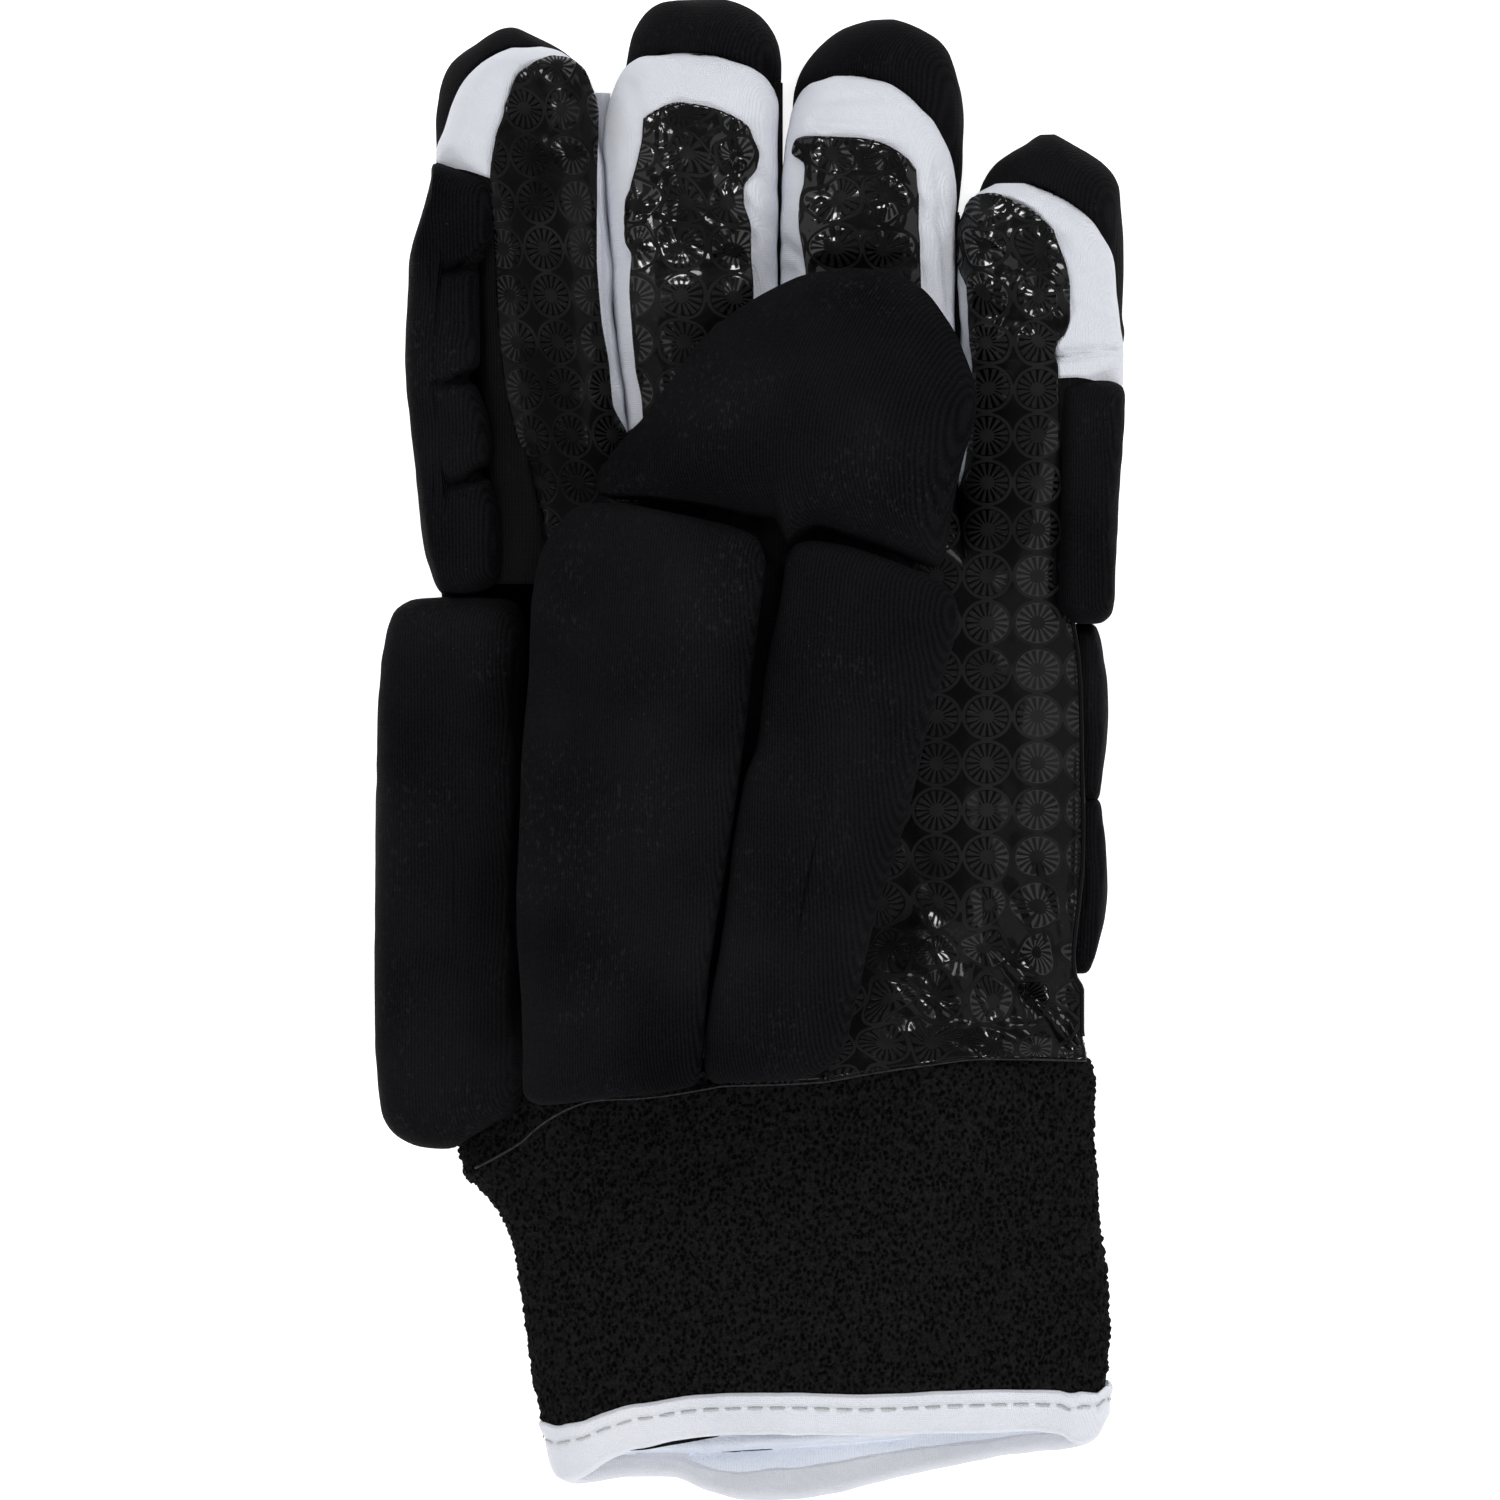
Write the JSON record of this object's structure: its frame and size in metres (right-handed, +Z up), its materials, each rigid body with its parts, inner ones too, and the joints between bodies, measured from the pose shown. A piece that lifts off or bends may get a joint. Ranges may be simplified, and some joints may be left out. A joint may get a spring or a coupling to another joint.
{
  "type": "indoor hockey glove",
  "caption": "Padded left-hand glove lying palm up, thumb folded over the palm, with foam blocks, grip fabric palm, gusseted fingers and an open knitted cuff.",
  "frame": {"origin": "middle of the glove's outline seen from above, on the surface that it lies on", "axes": "+Y from the cuff's mouth to the fingertips, +X across the palm from the index finger to the little finger, +Z up out of the palm"},
  "size_m": [0.135, 0.2703, 0.0614],
  "materials": {
    "neoprene": "black knit-faced neoprene over foam",
    "shell": "black stretch fabric",
    "grip": "glossy black grip fabric with a raised matte print",
    "gusset": "smooth white lycra",
    "knit": "black crimped elastic knit",
    "lining": "soft white jersey",
    "binding": "white woven binding tape"
  },
  "bodies": {
    "root": {"palm_grip_panel": "grip", "back_panel": "shell", "index_gusset": "gusset", "index_tip_cap": "neoprene", "middle_gusset": "gusset", "middle_tip_cap": "neoprene", "ring_gusset": "gusset", "ring_tip_cap": "neoprene", "little_gusset": "gusset", "little_tip_cap": "neoprene", "index_side_pad": "neoprene", "little_side_pad": "neoprene", "palm_edge_pad": "neoprene", "hand_side_pad": "neoprene", "thumb_stall": "shell", "thumb_cap_pad": "neoprene", "thumb_long_pad": "neoprene", "thumb_short_pad": "neoprene", "index_back_block_1": "neoprene", "index_back_block_2": "neoprene", "middle_back_block_1": "neoprene", "middle_back_block_2": "neoprene", "ring_back_block_1": "neoprene", "ring_back_block_2": "neoprene", "little_back_block_1": "neoprene", "little_back_block_2": "neoprene", "hand_back_block_index": "neoprene", "hand_back_block_middle": "neoprene", "hand_back_block_ring": "neoprene", "hand_back_block_little": "neoprene", "wrist_back_block": "neoprene", "cuff_knit": "knit", "cuff_lining": "lining", "cuff_binding": "binding"}
  },
  "joints": []
}
